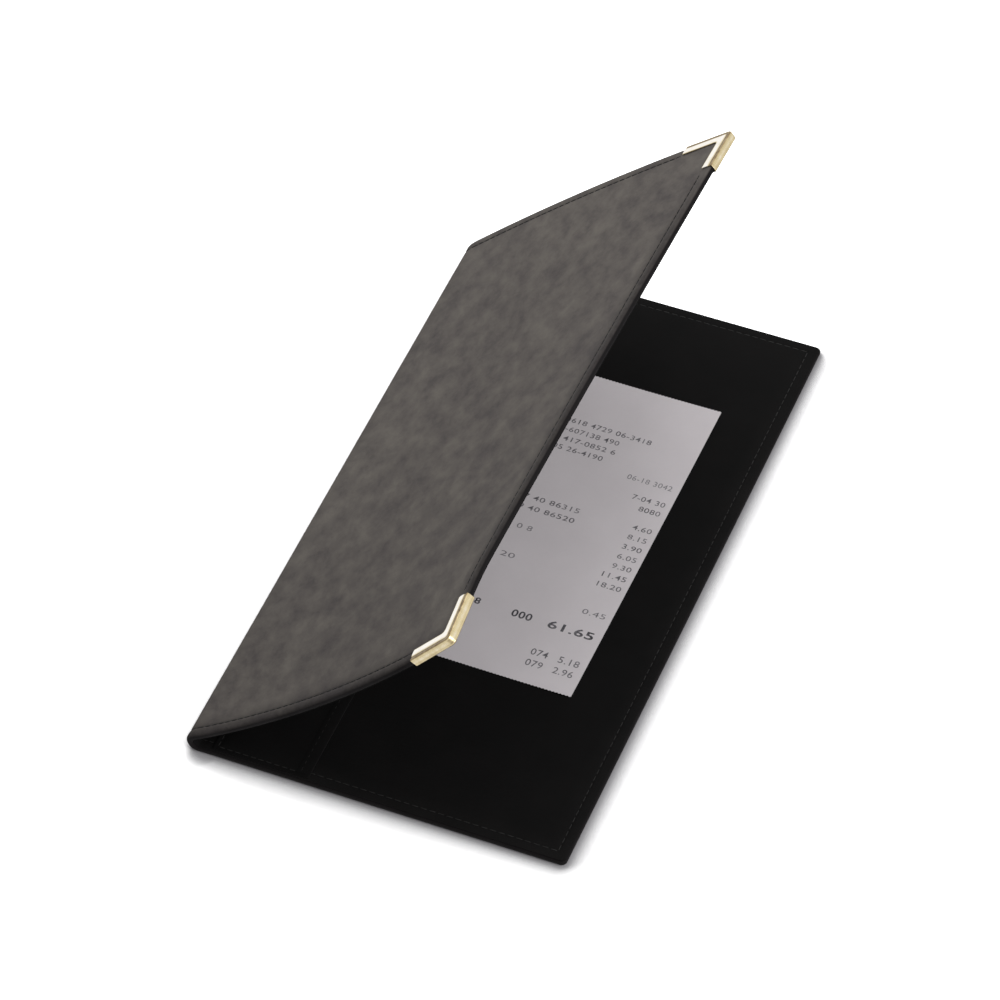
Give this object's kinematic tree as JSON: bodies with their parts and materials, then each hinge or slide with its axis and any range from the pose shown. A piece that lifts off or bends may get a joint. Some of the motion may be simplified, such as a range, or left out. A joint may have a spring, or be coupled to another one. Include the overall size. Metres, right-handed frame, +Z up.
{
  "type": "guest check presenter",
  "caption": "Slim leatherette folder that opens along its tall edge, with folded metal corners on the front cover and a side pocket that holds a printed check.",
  "frame": {"origin": "middle of the back cover's outer face, on the surface that it rests on", "axes": "+X from the spine to the free edge, +Y along the spine from the near end to the far end, +Z up"},
  "size_m": [0.1343, 0.2509, 0.0984],
  "materials": {
    "leatherette": "matt, finely mottled",
    "lining": "matt black",
    "board": "dense pressed greyboard",
    "gilt_metal": "bright plated",
    "till_paper": "smooth uncoated look"
  },
  "bodies": {
    "back_cover": {"back_skin": "leatherette", "back_board": "board", "back_lining": "lining", "check_pocket": "lining"},
    "spine": {"spine_skin": "leatherette", "spine_lining": "lining"},
    "front_cover": {"front_skin": "leatherette", "front_board": "board", "front_lining": "lining", "card_pocket": "lining", "corner_near": "gilt_metal", "corner_far": "gilt_metal"},
    "guest_check": {"guest_check": "till_paper"}
  },
  "joints": [
    {"name": "spine_fold", "type": "hinge", "parent": "back_cover", "child": "spine", "pos_m": [-0.06565, 0, 0.00035], "axis": [0, -1, 0], "range_deg": [-19.2, 67.5]},
    {"name": "cover_fold", "type": "hinge", "parent": "spine", "child": "front_cover", "pos_m": [-0.06798, 0, 0.0062], "axis": [0, -1, 0], "range_deg": [-19.2, 67.5]},
    {"name": "check_slide", "type": "slide", "parent": "back_cover", "child": "guest_check", "axis": [1, 0, 0], "range_m": [-0.018, 0.014]}
  ],
  "couplings": [
    {"joint": "cover_fold", "follows": "spine_fold", "ratio": 1}
  ]
}
